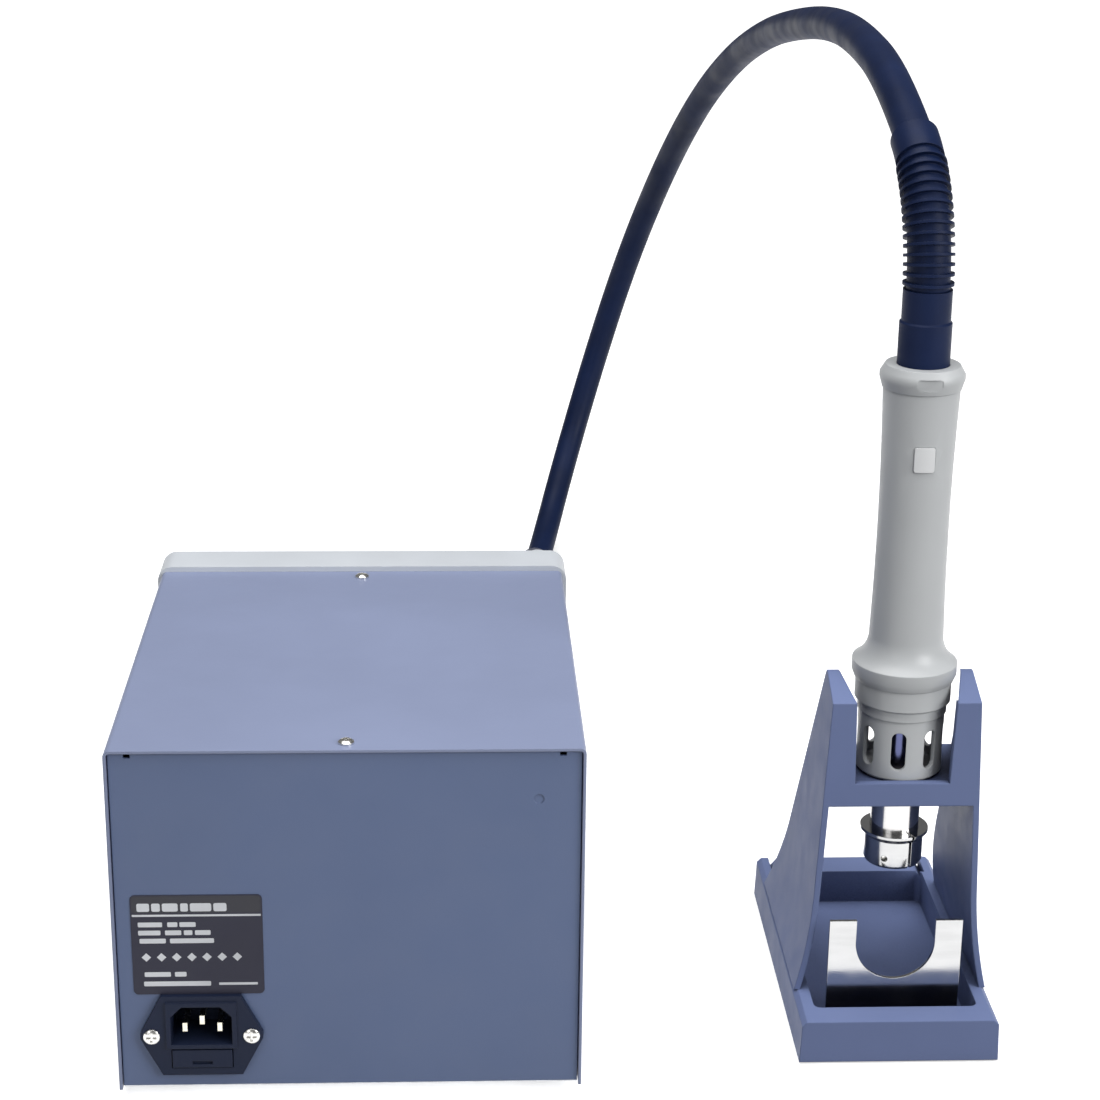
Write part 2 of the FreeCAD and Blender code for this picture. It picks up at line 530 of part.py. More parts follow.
def heatsink():
    z, x0, y0 = BOARD_Z + 1.6, BOARD_X0 + 14, BOARD_Y0 + 30
    base = box(x0, y0, z, x0 + 56, y0 + 4, z + 34)
    fins = [box(x0 + 8 * i, y0 + 3, z, x0 + 8 * i + 2, y0 + 18, z + 34) for i in range(7)]
    return fused([base] + fins)


def capacitors():
    z = BOARD_Z + 1.6
    return [rod(V(BOARD_X1 - 22, BOARD_Y0 + 12 + 20 * i, z), UP, 8.0, 26) for i in range(2)]


BLOWER_X, BLOWER_Y, BLOWER_Z = INTAKE_X, INTAKE_Y, FLOOR_TOP + 50.0
BLOWER_RADIUS, BLOWER_HALF, BLOWER_SKIN = 42.0, 15.0, 1.8
DUCT_X = OUTLET_TIP.x
DUCT_RADIUS = 6.0
SHAFT_RADIUS = 2.5


def blower_parts():
    """The volute in two halves, split across the shaft."""
    y0, y1 = BLOWER_Y - BLOWER_HALF, BLOWER_Y + BLOWER_HALF
    drum = rod(V(BLOWER_X, y0, BLOWER_Z), REAR, BLOWER_RADIUS, 2 * BLOWER_HALF)
    stack = rod(V(DUCT_X, BLOWER_Y, BLOWER_Z), UP, DUCT_RADIUS + BLOWER_SKIN, 52)
    foot = box(BLOWER_X - 24, y0, FLOOR_TOP, BLOWER_X + 24, y1, BLOWER_Z - 30)
    hollow = rod(V(BLOWER_X, y0 + BLOWER_SKIN, BLOWER_Z), REAR, BLOWER_RADIUS - BLOWER_SKIN,
                 2 * (BLOWER_HALF - BLOWER_SKIN))
    way_out = rod(V(DUCT_X, BLOWER_Y, BLOWER_Z), UP, DUCT_RADIUS, 60)
    mouth = rod(V(BLOWER_X, y0 - 1, BLOWER_Z), REAR, 19, 4)
    shaft_hole = rod(V(BLOWER_X, y1 - 4, BLOWER_Z), REAR, SHAFT_RADIUS + 1.0, 6)
    body = cut_all(fused([drum, stack, foot]), [hollow, way_out, mouth, shaft_hole])
    big = 300
    front = body.common(box(-big, -big, -big, big, BLOWER_Y, big))
    rear = body.common(box(-big, BLOWER_Y, -big, big, big, big))
    return front, rear


def impeller():
    hub_y = BLOWER_Y + BLOWER_HALF - BLOWER_SKIN - 3
    plate = rod(V(BLOWER_X, hub_y, BLOWER_Z), REAR, 34, 2)
    hub = rod(V(BLOWER_X, hub_y - 8, BLOWER_Z), REAR, 6, 9)
    blades = []
    for i in range(12):
        blade = box(BLOWER_X + 20, hub_y - 18, BLOWER_Z - 0.8, BLOWER_X + 33, hub_y + 0.5, BLOWER_Z + 0.8)
        blade.rotate(V(BLOWER_X + 20, 0, BLOWER_Z), REAR, -28)
        blade.rotate(V(BLOWER_X, 0, BLOWER_Z), REAR, 30 * i)
        blades.append(blade)
    return fused([plate, hub] + blades).cut(rod(V(BLOWER_X, hub_y - 10, BLOWER_Z), REAR, SHAFT_RADIUS, 14))


def impeller_shaft():
    return rod(V(BLOWER_X, BLOWER_Y + BLOWER_HALF - 12, BLOWER_Z), REAR, SHAFT_RADIUS, 30)


def blower_motor():
    y = BLOWER_Y + BLOWER_HALF
    can = rod(V(BLOWER_X, y, BLOWER_Z), REAR, 20, 38)
    boss = rod(V(BLOWER_X, y + 38, BLOWER_Z), REAR, 6, 3)
    return fused([can, boss]).cut(rod(V(BLOWER_X, y - 1, BLOWER_Z), REAR, SHAFT_RADIUS + RUNNING, 26))


def air_duct():
    """Rubber elbow from the blower's stack to the spigot behind the front panel."""
    low = V(DUCT_X, BLOWER_Y, BLOWER_Z + 52)
    high = V(DUCT_X, BLOWER_Y, OUTLET_ROOT.z)
    end = V(DUCT_X, LEDGE_Y + 5.0, OUTLET_ROOT.z)
    radius = 16.0
    bend = V(DUCT_X, BLOWER_Y - radius * (1 - math.sqrt(0.5)), OUTLET_ROOT.z - radius * (1 - math.sqrt(0.5)))
    up_end, flat_start = high - V(0, 0, radius), high - V(0, radius, 0)

    def path():
        return [Part.LineSegment(low, up_end).toShape(), Part.Arc(up_end, bend, flat_start).toShape(),
                Part.LineSegment(flat_start, end).toShape()]
    elbow = swept(path(), SPIGOT_RADIUS + 1.1).cut(swept(path(), SPIGOT_RADIUS - 1.5))
    return elbow.cut(rod(end - V(0, 1, 0), REAR, SPIGOT_RADIUS + RUNNING, SPIGOT_END_Y + 1.1 - end.y))


# ---------------------------------------------------------------- the handpiece, about its own axis
HAND_X, HAND_Y = STAND_X - 2.0, 57.0
HAND_SEAT = SHELF_TOP + GAP
CAGE_TOP = 27.0
BELL_TOP = 59.0
GRIP_TOP = 166.0
COLLAR_TOP = 175.5
SLEEVE_TOP = 206.0
CLAMP_BOTTOM, CLAMP_TOP = -43.0, -27.6
VENT_COUNT = 8
VENT_TURN = 12.0           # degrees that the vents stand round from square with the stand


def in_hand(solid):
    """Takes a solid from the handpiece's own axis to where it stands in the shelf."""
    return solid.translated(V(HAND_X, HAND_Y, HAND_SEAT))


def vent_cage():
    cage = turned([(CAGE_RADIUS - 1.6, 0), (CAGE_RADIUS - 1.0, 0), (CAGE_RADIUS, 1.0),
                   (CAGE_RADIUS, CAGE_TOP),
                   (CAGE_RADIUS - 2.0, CAGE_TOP), (CAGE_RADIUS - 2.0, 2.0), (TUBE_RADIUS + 0.1, 2.0),
                   (TUBE_RADIUS + 0.1, 0)])
    slots = []
    for i in range(VENT_COUNT):
        slot = rounded_box(10, -3.0, 5.2, 25, 3.0, 22.1, 2.9, RIGHT)
        slot.rotate(V(0, 0, 0), UP, 360 / VENT_COUNT * i + 90 - VENT_TURN)
        slots.append(slot)
    return cut_all(cage, slots)


def bell_ring():
    return turned([(CAGE_RADIUS - 2.0, CAGE_TOP), (CAGE_RADIUS + 0.6, CAGE_TOP), (CAGE_RADIUS + 0.6, 31.0),
                   (CAGE_RADIUS + 2.0, 32.0), (CAGE_RADIUS + 2.0, 41.0), (CAGE_RADIUS - 2.0, 41.0)])


def grip_shell():
    wall = 2.4
    outer = [(CAGE_RADIUS + 2.6, 41.0), (BELL_RADIUS, 44.0), (BELL_RADIUS, 48.6),
             ((BELL_RADIUS - 4.6, 53.4), (GRIP_RADIUS + 0.9, BELL_TOP + 2)),
             ((GRIP_RADIUS, 110.0), (GRIP_RADIUS + 1.1, GRIP_TOP))]
    inner = [(GRIP_RADIUS + 1.1 - wall, GRIP_TOP), (GRIP_RADIUS - wall, 110.0),
             (GRIP_RADIUS + 0.9 - wall, BELL_TOP + 2), (BELL_RADIUS - wall - 1, 47.0),
             (CAGE_RADIUS - 1.0, 41.0)]
    shell = turned(outer + inner)
    return shell.cut(patch_block(0))


def patch_block(slack):
    return rounded_box(-4.3 - slack, GRIP_RADIUS - 0.9, 134.0 - slack,
                       4.3 + slack, GRIP_RADIUS + 3, 144.6 + slack, 1.0, REAR)


def grip_patch():
    """Flush square patch on the side of the grip that faces the user."""
    skin = turned([(GRIP_RADIUS - 0.6, 120), (GRIP_RADIUS + 0.75, 120), (GRIP_RADIUS + 0.95, 150),
                   (GRIP_RADIUS - 0.6, 150)])
    return patch_block(-0.1).common(skin)


def rear_collar():
    top, low, r = COLLAR_TOP, GRIP_TOP, GRIP_RADIUS
    collar = turned([(r - 1.0, low), (r + 1.5, low), (r + 2.7, low + 4.2), (r + 2.7, low + 6.0),
                     (r + 0.6, top),
                     (10.7, top), (10.7, low)])
    window = rounded_box(-5.2, r + 1.7, low + 2.2, 5.2, r + 5, low + 6.6, 0.6, REAR)
    return collar.cut(window)


def heater_tube():
    return turned([(TUBE_RADIUS - 0.8, -30.0), (TUBE_RADIUS, -30.0), (TUBE_RADIUS, 36.0),
                   (TUBE_RADIUS - 0.8, 36.0)])


def nozzle_clamp():
    outer = TUBE_RADIUS + 2.1
    clamp = turned([(TUBE_RADIUS - 3.3, CLAMP_BOTTOM), (outer - 0.6, CLAMP_BOTTOM),
                    (outer, CLAMP_BOTTOM + 1.2),
                    (outer, CLAMP_TOP - 3.4), (outer + 2.0, CLAMP_TOP - 1.2), (outer + 2.0, CLAMP_TOP),
                    (TUBE_RADIUS + 0.05, CLAMP_TOP), (TUBE_RADIUS + 0.05, -30.1),
                    (TUBE_RADIUS - 3.3, -30.1)])
    split = box(-0.6, 0, CLAMP_BOTTOM - 1, 0.6, 20, CLAMP_TOP + 1)
    split.rotate(V(0, 0, 0), UP, 25)
    screw_way = rod(V(0, 0, 0), REAR, 1.3, 8)
    screw_way.translate(V(5.6, 5.5, CLAMP_BOTTOM + 4.5))
    return cut_all(clamp, [split, screw_way])


def clamp_screw():
    return pan_screw(V(5.6, TUBE_RADIUS - 1.3, CLAMP_BOTTOM + 4.5), REAR, 1.1, 0.6, 0.9, 2.4)


def heater_core():
    """Ceramic former with four ribs that carries the winding inside the tube."""
    core = rod(V(0, 0, -22), UP, 4.0, 70)
    ribs = []
    for i in range(4):
        rib = box(0, -0.7, -22, 6.6, 0.7, 48)
        rib.rotate(V(0, 0, 0), UP, 90 * i)
        ribs.append(rib)
    return fused([core] + ribs)


def heater_winding():
    return [placed(Part.makeTorus(7.3, 0.6), V(0, 0, -18 + 5 * i), UP) for i in range(10)]


def air_tube():
    """Inner tube that carries air and wires from the hose to the heater."""
    return turned([(6.6, 52.0), (7.6, 52.0), (7.6, 196.0), (6.6, 196.0)])


def strain_sleeve():
    low, step = COLLAR_TOP - 7.0, 193.0
    return turned([(9.9, low), (10.6, low), (10.6, step - 0.4), (9.9, step + 0.4), (9.9, SLEEVE_TOP),
                   (6.0, SLEEVE_TOP), (6.0, SLEEVE_TOP - 3), (9.3, SLEEVE_TOP - 3), (9.3, step - 4)])


def relief_point(turn):
    """Centre and heading of the bent strain relief after it has turned this many degrees."""
    angle = math.radians(turn)
    heading = RELIEF_AIM * math.sin(angle) + UP * math.cos(angle)
    place = V(0, 0, SLEEVE_TOP) + RELIEF_AIM * (RELIEF_BEND * (1 - math.cos(angle)))
    return place + UP * (RELIEF_BEND * math.sin(angle)), heading


RELIEF_AIM = V(math.sin(math.radians(RELIEF_SIDE)), -math.cos(math.radians(RELIEF_SIDE)), 0)
CUFF_TURN = 12.0
RIB_COUNT = 14


def bent_bar(turn_from, turn_to, radius):
    start, heading = relief_point(turn_from)
    middle, _ = relief_point((turn_from + turn_to) / 2)
    end, _ = relief_point(turn_to)
    return swept([Part.Arc(start, middle, end).toShape()], radius)


def strain_ribs():
    """Ribbed boot that bends with the hose and ends in a plain cuff around it."""
    bar = bent_bar(0, RELIEF_TURN, 8.7)
    cuff = bent_bar(RELIEF_TURN - CUFF_TURN, RELIEF_TURN, 9.9)
    ribs = []
    for i in range(RIB_COUNT):
        place, heading = relief_point(2.2 + i * (RELIEF_TURN - CUFF_TURN - 2.2) / RIB_COUNT)
        ribs.append(rod(place - heading * 0.6, heading, 10.3, 1.2))
    end, heading = relief_point(RELIEF_TURN)
    mouth = rod(end - heading * 6, heading, HOSE_RADIUS + GAP, 10)
    bore = bent_bar(0, RELIEF_TURN - 7, 6.0)
    return cut_all(fused([bar, cuff] + ribs), [mouth, bore])


# ---------------------------------------------------------------- the hose
RELIEF_END, RELIEF_HEADING = relief_point(RELIEF_TURN)
HOSE_END = V(HAND_X, HAND_Y, HAND_SEAT) + RELIEF_END - RELIEF_HEADING * 5.6
HOSE_START = OUTLET_TIP - OUTLET_AXIS * (HOSE_ENTRY - 0.1)
HOSE_ROUTE = [
    HOSE_START,
    OUTLET_TIP + OUTLET_AXIS * 30,
    V(4, -214, 107),
    V(5, -287, 71),
    V(3, -369, 32),
    V(-3, -452, 8.3),
    V(-14, -531, 8.3),
    V(-31, -589, 50),
    V(-53, -615, 120),
    V(-73, -603, 192),
    V(-92, -561, 259),
    V(-107, -498, 312),
    V(-119, -424, 349),
    V(-128, -343, 373),
    V(-133, -261, 387),
    V(-135, -178, 397),
    V(-135, -98, 401),
    HOSE_END + RELIEF_HEADING * 50,
    HOSE_END,
]


def air_hose():
    edges, radii = route_edges(HOSE_ROUTE)
    hose = swept(edges, HOSE_RADIUS)
    length = sum(edge.Length for edge in edges)
    section = math.pi * HOSE_RADIUS ** 2
    print("hose radii", [round(radius) for radius in radii])
    print("hose end", [round(c, 1) for c in HOSE_END], "point before it",
          [round(c, 1) for c in HOSE_ROUTE[-2]], "start", [round(c, 1) for c in HOSE_START])
    print("hose length", round(length), "volume over section times length",
          round(hose.Volume / (section * length), 4))
    return hose


# ---------------------------------------------------------------- the stand
TRAY_FRONT_Y = 107.0
TRAY_REAR_Y = TRAY_FRONT_Y - TRAY_DEPTH
TRAY_HALF = TRAY_WIDTH / 2
LIP_DEPTH = 12.5
REAR_WALL = 15.0
BED = 3.6
FACE_Y = 79.0
PLATE = 3.5
BAR_TOP, BAR_BOTTOM = 115.3, 105.0
SHOULDER = 151.3
TIP = 158.0
NOTCH_HALF = 19.8
SHOULDER_HALF = 20.8
STAND_LIFT = 0.8
# half widths over the side walls: flared at the tray, nearly upright above the flare
FLARE = [(41.2, TRAY_HEIGHT), (37.1, 40.0), (34.8, 62.0)]
WALL_TOP_HALF = 30.6
SIDE_PROFILE = [(FACE_Y, TRAY_HEIGHT - 3), (FACE_Y, SHOULDER), (60.0, TIP), (56.5, TIP - 1.5),
                (-23.0, TRAY_HEIGHT - 3)]


def wall_face(z):
    """Half width of the stand over its side walls at a height above the flare."""
    foot, low = FLARE[2]
    return foot + (WALL_TOP_HALF - foot) * (z - low) / (TIP - low)


def side_wall(side):
    def edge(inset):
        points = [V(STAND_X + side * (x - inset), -40, z) for x, z in FLARE]
        top = V(STAND_X + side * (WALL_TOP_HALF - inset), -40, TIP)
        return Part.Arc(*points).toShape(), Part.LineSegment(points[2], top).toShape(), points[0], top
    arc_out, line_out, low_out, top_out = edge(0)
    arc_in, line_in, low_in, top_in = edge(STAND_WALL)
    caps = [Part.LineSegment(top_out, top_in).toShape(), Part.LineSegment(low_in, low_out).toShape()]
    section = Part.Wire(Part.__sortEdges__([arc_out, line_out, caps[0], line_in, arc_in, caps[1]]))
    sheet = Part.Face(section).extrude(V(0, 150, 0))
    profile = prism([V(STAND_X, y, z) for y, z in SIDE_PROFILE], V(side * 60, 0, 0))
    return sheet.common(profile)


def front_frame():
    """Notched front plate between the walls, above the open window."""
    low, high = wall_face(BAR_BOTTOM), wall_face(SHOULDER)
    right = [(low, BAR_BOTTOM), (high, SHOULDER), (SHOULDER_HALF, SHOULDER), (NOTCH_HALF, BAR_TOP)]
    outline = right + [(-x, z) for x, z in reversed(right)]
    return prism([V(STAND_X + x, FACE_Y - PLATE, z) for x, z in outline], V(0, PLATE, 0))


def gusset(side):
    """Three-sided web behind an upright that rises and tapers to the tip of its wall."""
    sections = []
    for z, front, inner, back, lip in ((BAR_BOTTOM, FACE_Y, NOTCH_HALF + 3.6, 50, STAND_WALL),
                                       (SHOULDER, FACE_Y, SHOULDER_HALF, 54, STAND_WALL),
                                       (TIP, 60, WALL_TOP_HALF - 5.4, 57.5, 5.0)):
        outer = wall_face(z) - 0.05
        corners = [V(STAND_X + side * x, y, z) for x, y in
                   ((outer, front), (inner, front), (outer - lip, back), (outer, back))]
        sections.append(Part.makePolygon(corners + [corners[0]]))
    return Part.makeLoft(sections, True, True)


def stand_tray():
    z0 = STAND_LIFT
    top = TRAY_HEIGHT
    outer = [(-TRAY_HALF, z0), (TRAY_HALF, z0), (TRAY_HALF - 0.6, top - 2.0), (TRAY_HALF - 2.6, top),
             (2.6 - TRAY_HALF, top), (0.6 - TRAY_HALF, top - 2.0)]
    block = prism([V(STAND_X + x, TRAY_REAR_Y, z) for x, z in outer], V(0, TRAY_DEPTH, 0))
    hollow = rounded_box(STAND_X - 34.6, TRAY_REAR_Y + REAR_WALL, BED, STAND_X + 34.6,
                         TRAY_FRONT_Y - LIP_DEPTH, 40, 3.0, UP)
    bevel = [(36, TRAY_HEIGHT + 1), (31, TRAY_HEIGHT + 1), (36, TRAY_HEIGHT - 5)]
    corners = [prism([V(STAND_X + side * x, TRAY_REAR_Y - 1, z) for x, z in bevel], V(0, REAR_WALL + 2, 0))
               for side in (-1, 1)]
    under = box(STAND_X - TRAY_HALF + 4, TRAY_REAR_Y + 4, z0 - 1,
                STAND_X + TRAY_HALF - 4, TRAY_FRONT_Y - 4, z0 + 0.8)
    return cut_all(block, [hollow, under] + corners)


def stand_body():
    shelf = box(STAND_X - 30.6, 34.0, SHELF_TOP - 3, STAND_X + 30.6, FACE_Y - PLATE + 0.1, SHELF_TOP)
    hole = rod(V(HAND_X, HAND_Y, BAR_BOTTOM - 1), UP, SHELF_HOLE, 20)
    cage_room = rod(V(HAND_X, HAND_Y, SHELF_TOP), UP, CAGE_RADIUS + 0.4, 60)
    body = fused([stand_tray(), side_wall(-1), side_wall(1), front_frame(), gusset(-1), gusset(1), shelf])
    pilots = [rod(place - V(0, 0, 3.1), UP, 1.0 + RUNNING, 4) for place in PLATE_SCREWS]
    return cut_all(body, [hole, cage_room, plate_slot()] + pilots)


def plate_slot():
    return box(STAND_X - 28.3, 83.4, BED - 1.4, STAND_X + 28.3, 85.2, BED + 1)


PLATE_TOP = 55.0
PLATE_SCREWS = [V(STAND_X + side * 24, 89.4, BED + 1.6) for side in (-1, 1)]


def nozzle_plate():
    """Polished rest plate with a U notch for the nozzle, standing in a slot in the tray."""
    y0, y1 = 83.5, 85.1
    plate = box(STAND_X - 28.2, y0, BED - 1.4, STAND_X + 28.2, y1, PLATE_TOP)
    radius = 16.8
    notch = fused([rod(V(STAND_X, y0 - 1, PLATE_TOP - 10.4), REAR, radius, 4),
                   box(STAND_X - radius, y0 - 1, PLATE_TOP - 10.4, STAND_X + radius, y1 + 1, PLATE_TOP + 1)])
    plate = plate.cut(notch)
    tabs = [box(place.x - 4, y1 - 0.1, BED, place.x + 4, y1 + 7.5, place.z) for place in PLATE_SCREWS]
    return cut_all(fused([plate] + tabs), [rod(place - V(0, 0, 3), UP, 1.2, 5) for place in PLATE_SCREWS])


def plate_screws():
    return [pan_screw(place, UP, 2.4, 1.3, 1.0, 3.0) for place in PLATE_SCREWS]


def stand_pads():
    pads = []
    for s in (-1, 1):
        for y in (TRAY_REAR_Y + 14, TRAY_FRONT_Y - 14):
            pads.append(rod(V(STAND_X + s * 28, y, 0), UP, 6.0, STAND_LIFT + 0.8))
    return pads


def main():
    os.makedirs("parts", exist_ok=True)
    write("unit_feet", *feet())
    write("foot_screws", *foot_screws())
    write("chassis_tray", chassis_tray())
    write("rear_panel", rear_panel())
    write("top_cover", top_cover())
    write("cover_screws", *cover_screws())
    write("front_bracket", front_bracket())
    write("front_bezel", front_bezel())
    write("front_panel", front_panel())
    write("display_window", display_window())
    write("display_module", display_module())
    for name, x in zip(KEY_NAMES, KEY_XS):
        write(name, key(x))
    write("control_board", control_board())
    write("control_posts", *control_posts())
    write("key_switches", *key_switches())
    write("rocker_frame", rocker_frame())
    write("power_rocker", power_rocker())
    write("hose_outlet", hose_outlet())
    write("outlet_nut", outlet_nut())
    write("rating_label", rating_label())
    write("inlet_body", inlet_body())
    write("inlet_pins", *inlet_pins())
    write("fuse_drawer", fuse_drawer())
    write("fuses", *fuses())
    write("inlet_screws", *inlet_screws())
    write("transformer_core", transformer_core())
    write("transformer_coil", transformer_coil())
    write("main_board", main_board())
    write("board_posts", *board_posts())
    write("board_screws", *board_screws())
    write("heatsink", heatsink())
    write("capacitors", *capacitors())
    volute_front, volute_rear = blower_parts()
    write("blower_front", volute_front)
    write("blower_rear", volute_rear)
    write("impeller", impeller())
    write("impeller_shaft", impeller_shaft())
    write("blower_motor", blower_motor())
    write("air_duct", air_duct())
    for name, solid in (("vent_cage", vent_cage()), ("bell_ring", bell_ring()), ("grip_shell", grip_shell()),
                        ("grip_patch", grip_patch()), ("rear_collar", rear_collar()),
                        ("heater_tube", heater_tube()), ("nozzle_clamp", nozzle_clamp()),
                        ("clamp_screw", clamp_screw()), ("heater_core", heater_core()),
                        ("air_tube", air_tube()), ("strain_sleeve", strain_sleeve()),
                        ("strain_ribs", strain_ribs())):
        write(name, in_hand(solid))
    write("heater_winding", *[in_hand(turn) for turn in heater_winding()])
    write("air_hose", air_hose())
    write("stand_body", stand_body())
    write("nozzle_plate", nozzle_plate())
    write("plate_screws", *plate_screws())
    write("stand_pads", *stand_pads())


main()
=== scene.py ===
import json
import math

import bmesh
import bpy
from mathutils import Matrix, Vector


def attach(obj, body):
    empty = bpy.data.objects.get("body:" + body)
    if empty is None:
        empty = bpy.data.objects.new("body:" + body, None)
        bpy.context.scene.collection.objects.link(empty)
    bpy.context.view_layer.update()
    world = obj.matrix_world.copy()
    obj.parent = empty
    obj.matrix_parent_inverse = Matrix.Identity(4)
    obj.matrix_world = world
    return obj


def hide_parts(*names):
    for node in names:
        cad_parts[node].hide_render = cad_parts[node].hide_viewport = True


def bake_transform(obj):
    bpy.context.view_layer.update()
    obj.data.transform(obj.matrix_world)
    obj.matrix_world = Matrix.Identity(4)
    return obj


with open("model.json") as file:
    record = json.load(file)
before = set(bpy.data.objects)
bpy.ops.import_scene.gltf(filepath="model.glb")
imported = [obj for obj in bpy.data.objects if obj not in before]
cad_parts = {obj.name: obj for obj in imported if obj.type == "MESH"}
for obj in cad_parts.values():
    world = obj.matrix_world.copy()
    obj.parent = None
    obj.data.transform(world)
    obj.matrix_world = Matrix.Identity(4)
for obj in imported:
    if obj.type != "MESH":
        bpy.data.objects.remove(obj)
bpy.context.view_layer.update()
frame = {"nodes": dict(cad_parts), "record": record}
nodes = frame["nodes"]

MM = 0.001


# ------------------------------------------------------------------ materials
class Paint:
    """A node material: base colour with mottling, varied roughness, grain and softened edges."""

    def __init__(self, name):
        self.material = bpy.data.materials.new(name)
        self.material.use_nodes = True
        self.tree = self.material.node_tree
        self.shader = self.tree.nodes["Principled BSDF"]
        self.place = self.add("ShaderNodeTexCoord").outputs["Object"]

    def add(self, kind, **settings):
        node = self.tree.nodes.new(kind)
        for key, value in settings.items():
            setattr(node, key, value)
        return node

    def link(self, source, target):
        self.tree.links.new(source, target)

    def stretched(self, x, y, z):
        """Texture coordinates scaled along each axis."""
        node = self.add("ShaderNodeMapping")
        node.inputs["Scale"].default_value = (x, y, z)
        self.link(self.place, node.inputs["Vector"])
        return node.outputs["Vector"]

    def noise(self, scale, detail=3.0, where=None):
        node = self.add("ShaderNodeTexNoise")
        node.inputs["Scale"].default_value = scale
        node.inputs["Detail"].default_value = detail
        self.link(where or self.place, node.inputs["Vector"])
        return node.outputs["Fac"]

    def ramp(self, value, stops):
        """A colour ramp with (position, colour) stops."""
        node = self.add("ShaderNodeValToRGB")
        elements = node.color_ramp.elements
        while len(elements) < len(stops):
            elements.new(0.5)
        for element, (position, colour) in zip(elements, stops):
            element.position = position
            element.color = (*colour, 1.0)
        self.link(value, node.inputs["Fac"])
        return node.outputs["Color"]

    def spread(self, value, low, high):
        """Maps a noise value onto low to high."""
        node = self.add("ShaderNodeMapRange")
        node.inputs["From Min"].default_value = 0.3
        node.inputs["From Max"].default_value = 0.7
        node.inputs["To Min"].default_value = low
        node.inputs["To Max"].default_value = high
        self.link(value, node.inputs["Value"])
        return node.outputs["Result"]

    def colour(self, base, mottle, scale, where=None):
        """Base colour that wanders a little lighter and darker."""
        dark = tuple(c * (1 - mottle) for c in base)
        light = tuple(min(1.0, c * (1 + mottle)) for c in base)
        tint = self.ramp(self.noise(scale, 4.0, where), [(0.35, dark), (0.65, light)])
        self.link(tint, self.shader.inputs["Base Color"])
        return tint

    def rough(self, low, high, scale, where=None):
        self.link(self.spread(self.noise(scale, 3.0, where), low, high), self.shader.inputs["Roughness"])

    def relief(self, height, depth, edge=0.0):
        """Bump from a height, over edges softened to a radius in metres."""
        bump = self.add("ShaderNodeBump")
        bump.inputs["Strength"].default_value = 1.0
        bump.inputs["Distance"].default_value = depth
        self.link(height, bump.inputs["Height"])
        if edge:
            soft = self.add("ShaderNodeBevel", samples=6)
            soft.inputs["Radius"].default_value = edge
            self.link(soft.outputs["Normal"], bump.inputs["Normal"])
        self.link(bump.outputs["Normal"], self.shader.inputs["Normal"])

    def set(self, **values):
        for key, value in values.items():
            self.shader.inputs[key.replace("_", " ")].default_value = value
        return self


def powder_coat(name, base):
    """Baked powder coat: sub-millimetre orange peel over steel sheet."""
    paint = Paint(name)
    paint.colour(base, 0.035, 9.0)
    paint.rough(0.36, 0.46, 60.0)
    paint.relief(paint.noise(1400.0, 2.0), 0.00003, 0.0006)
    return paint.set(Specular_IOR_Level=0.45).material


def moulded(name, base, rough=0.42, mottle=0.03, grain=0.00002, edge=0.0006, shine=0.45, painted_shade_reach=0.0):
    """Injection-moulded plastic with a fine spark-eroded grain; where a reach is given, shade is painted into
    its colour where it is boxed in.
    """
    paint = Paint(name)
    tint = paint.colour(base, mottle, 22.0)
    if painted_shade_reach:
        # Painted shade: ambient occlusion darkens the colour where the surface is boxed in.
        shade_occlusion = paint.add("ShaderNodeAmbientOcclusion", samples=8)
        shade_occlusion.inputs["Distance"].default_value = painted_shade_reach
        darker = paint.ramp(shade_occlusion.outputs["AO"], [(0.2, (0.08, 0.08, 0.11)), (0.5, (1.0, 1.0, 1.0))])
        mix = paint.add("ShaderNodeMix", data_type="RGBA", blend_type="MULTIPLY")
        mix.inputs[0].default_value = 1.0
        paint.link(tint, mix.inputs[6])
        paint.link(darker, mix.inputs[7])
        paint.link(mix.outputs[2], paint.shader.inputs["Base Color"])
    paint.rough(rough - 0.05, rough + 0.05, 90.0)
    paint.relief(paint.noise(2600.0, 2.0), grain, edge)
    return paint.set(Specular_IOR_Level=shine).material


def soft_rubber(name, base, rough=0.4, edge=0.0004, shine=0.22):
    """Rubber with a faint bloom and a fine skin."""
    paint = Paint(name)
    paint.colour(base, 0.16, 35.0)
    paint.rough(rough - 0.08, rough + 0.1, 45.0)
    paint.relief(paint.noise(900.0, 3.0), 0.000025, edge)
    return paint.set(Specular_IOR_Level=shine).material


def polished(name, base, rough=0.14, edge=0.0003):
    """Polished steel with faint turning lines and handling marks."""
    paint = Paint(name)
    lines = paint.stretched(0.15, 0.15, 1.0)
    paint.colour(base, 0.05, 260.0, lines)
    paint.rough(rough - 0.03, rough + 0.07, 60.0)
    paint.relief(paint.noise(2200.0, 2.0, lines), 0.000008, edge)
    return paint.set(Metallic=1.0).material


def heat_tinted(name):
    """Steel tube that is bright at the nozzle and blued where the heater runs hot."""
    paint = Paint(name)
    split = paint.add("ShaderNodeSeparateXYZ")
    paint.link(paint.place, split.inputs["Vector"])
    height = paint.add("ShaderNodeMapRange")
    height.inputs["From Min"].default_value = 0.104
    height.inputs["From Max"].default_value = 0.122
    paint.link(split.outputs["Z"], height.inputs["Value"])
    tint = paint.ramp(height.outputs["Result"], [(0.0, (0.6, 0.59, 0.58)), (0.45, (0.34, 0.27, 0.2)),
                                                 (1.0, (0.09, 0.1, 0.2))])
    paint.link(tint, paint.shader.inputs["Base Color"])
    paint.rough(0.12, 0.24, 60.0)
    paint.relief(paint.noise(2200.0, 2.0, paint.stretched(0.15, 0.15, 1.0)), 0.000008, 0.0003)
    return paint.set(Metallic=1.0).material


